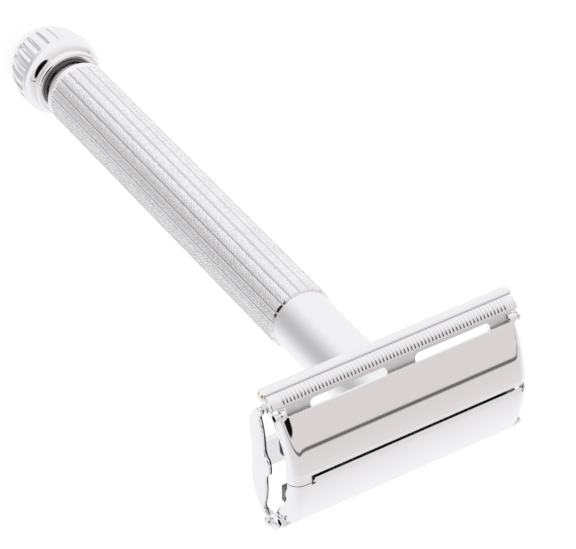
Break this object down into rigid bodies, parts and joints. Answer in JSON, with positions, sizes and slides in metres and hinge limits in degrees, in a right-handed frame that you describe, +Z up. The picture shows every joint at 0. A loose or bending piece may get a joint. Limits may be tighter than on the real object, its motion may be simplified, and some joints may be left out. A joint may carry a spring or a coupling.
{
  "type": "safety razor",
  "caption": "Twist-to-open double-edge safety razor: turning the knob at the end of the grooved handle lifts and opens the two curved doors over a slotted guard with ribbed bars.",
  "frame": {"origin": "centre of the flat end of the knob, which the razor stands on", "axes": "+Z up the handle towards the head, +X along the length of the head and its doors, -Y the front; Z = 0 is the floor"},
  "size_m": [0.0446, 0.0266, 0.1177],
  "materials": {
    "chrome": "bright polished chrome plate",
    "grip_chrome": "chrome plate over fine rope knurling",
    "brass": "turned brass",
    "steel": "turned steel"
  },
  "bodies": {
    "handle": {"grip_sleeve": "grip_chrome", "neck_tube": "chrome", "upper_bush": "brass", "lower_bush": "brass", "guard_plate": "chrome", "blade_bed": "chrome", "bed_rivets": "chrome", "blade_posts": "chrome"},
    "knob": {"knob_shell": "chrome", "knob_collar": "chrome", "drive_sleeve": "brass", "retaining_ring": "steel", "spring_washer": "steel", "thrust_washer": "steel", "knob_screw": "steel", "knob_end_plug": "chrome"},
    "carriage": {"carriage_bar": "chrome", "left_end_bracket": "chrome", "right_end_bracket": "chrome", "hinge_pins": "steel", "lift_rod": "steel", "rod_nut": "steel"},
    "front_door": {"front_door": "chrome"},
    "rear_door": {"rear_door": "chrome"}
  },
  "joints": [
    {"name": "knob_turn", "type": "hinge", "parent": "handle", "child": "knob", "pos_m": [0, 0, 0.006], "axis": [0, 0, 1], "range_deg": [0, 540]},
    {"name": "carriage_lift", "type": "slide", "parent": "handle", "child": "carriage", "axis": [0, 0, 1], "range_m": [0, 0.0026]},
    {"name": "front_door_swing", "type": "hinge", "parent": "carriage", "child": "front_door", "pos_m": [0, -0.0102, 0.1137], "axis": [1, 0, 0], "range_deg": [0, 85]},
    {"name": "rear_door_swing", "type": "hinge", "parent": "carriage", "child": "rear_door", "pos_m": [0, 0.0102, 0.1137], "axis": [-1, 0, 0], "range_deg": [0, 85]}
  ],
  "couplings": [
    {"joint": "knob_turn", "follows": "carriage_lift", "rad_per_m": 3624.9},
    {"joint": "front_door_swing", "follows": "carriage_lift", "rad_per_m": 570.58},
    {"joint": "rear_door_swing", "follows": "carriage_lift", "rad_per_m": 570.58}
  ]
}
